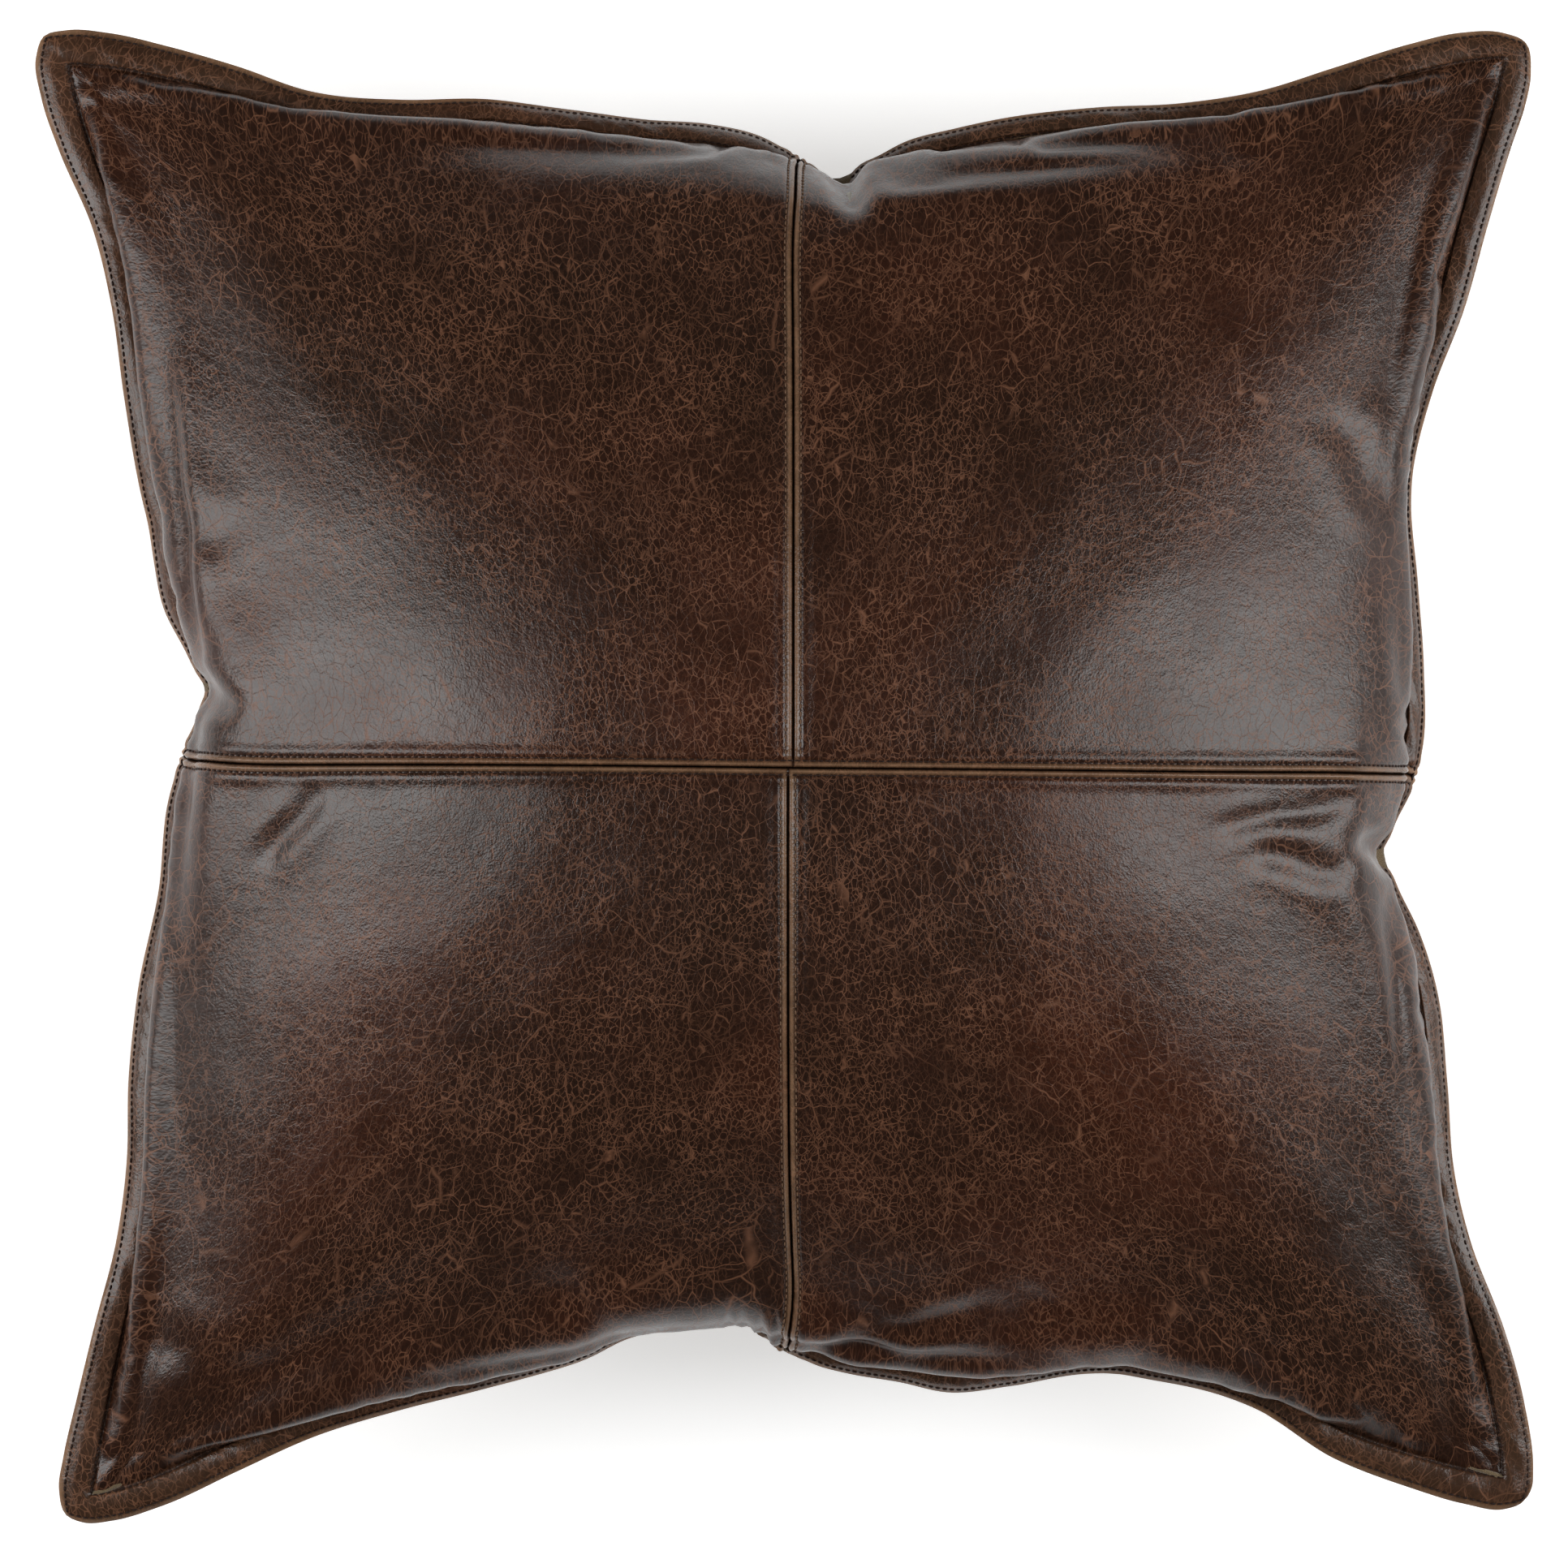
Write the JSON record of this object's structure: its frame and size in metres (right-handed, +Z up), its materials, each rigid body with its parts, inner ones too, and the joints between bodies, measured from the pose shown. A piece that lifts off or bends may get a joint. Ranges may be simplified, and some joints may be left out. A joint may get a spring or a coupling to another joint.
{
  "type": "throw pillow",
  "caption": "Square stuffed throw pillow with a pieced leather front, woven back, flat stitched flange, zip under the lower flange and a removable feather insert.",
  "frame": {"origin": "on the floor, under the middle of the pillow lying on its back", "axes": "+Z up, out of the leather front; +Y towards the pillow's upper side, away from the zip; +X to the right looking at the front"},
  "size_m": [0.5434, 0.5434, 0.2043],
  "materials": {
    "distressed_leather": "satin, distressed and waxed",
    "back_fabric": "matte weave",
    "zipper_tape": "matte weave",
    "zipper_coil": "satin",
    "antique_brass": "aged, satin",
    "insert_ticking": "matte weave",
    "feather_fill": "matte",
    "brown_thread": "waxed thread",
    "tan_thread": "matte thread"
  },
  "bodies": {
    "cover": {"back_flange_facing": "back_fabric", "back_panel": "back_fabric", "edge_stitch": "brown_thread", "feather_fill": "feather_fill", "flange_stitch": "brown_thread", "front_panel_bottom_left": "distressed_leather", "front_panel_bottom_right": "distressed_leather", "front_panel_top_left": "distressed_leather", "front_panel_top_right": "distressed_leather", "insert_ticking_back": "insert_ticking", "insert_ticking_front": "insert_ticking", "topstitch_across": "brown_thread", "topstitch_lower": "brown_thread", "topstitch_upper": "brown_thread", "zipper_bottom_stop": "antique_brass", "zipper_coil_lower": "zipper_coil", "zipper_coil_upper": "zipper_coil", "zipper_tape_lower": "zipper_tape", "zipper_tape_upper": "zipper_tape", "zipper_top_stops": "antique_brass", "zipper_topstitch": "tan_thread"},
    "slider": {"zipper_slider": "antique_brass"},
    "pull_tab": {"zipper_pull_tab": "antique_brass"}
  },
  "joints": [
    {"name": "zip_travel", "type": "hinge", "parent": "cover", "child": "slider", "pos_m": [0, -0.73528, 0.077], "axis": [0, 0, 1], "range_deg": [0, 37.57]},
    {"name": "tab_flip", "type": "hinge", "parent": "slider", "child": "pull_tab", "pos_m": [0.17518, -0.22028, 0.077], "axis": [0, 0, 1], "range_deg": [0, 175]}
  ]
}
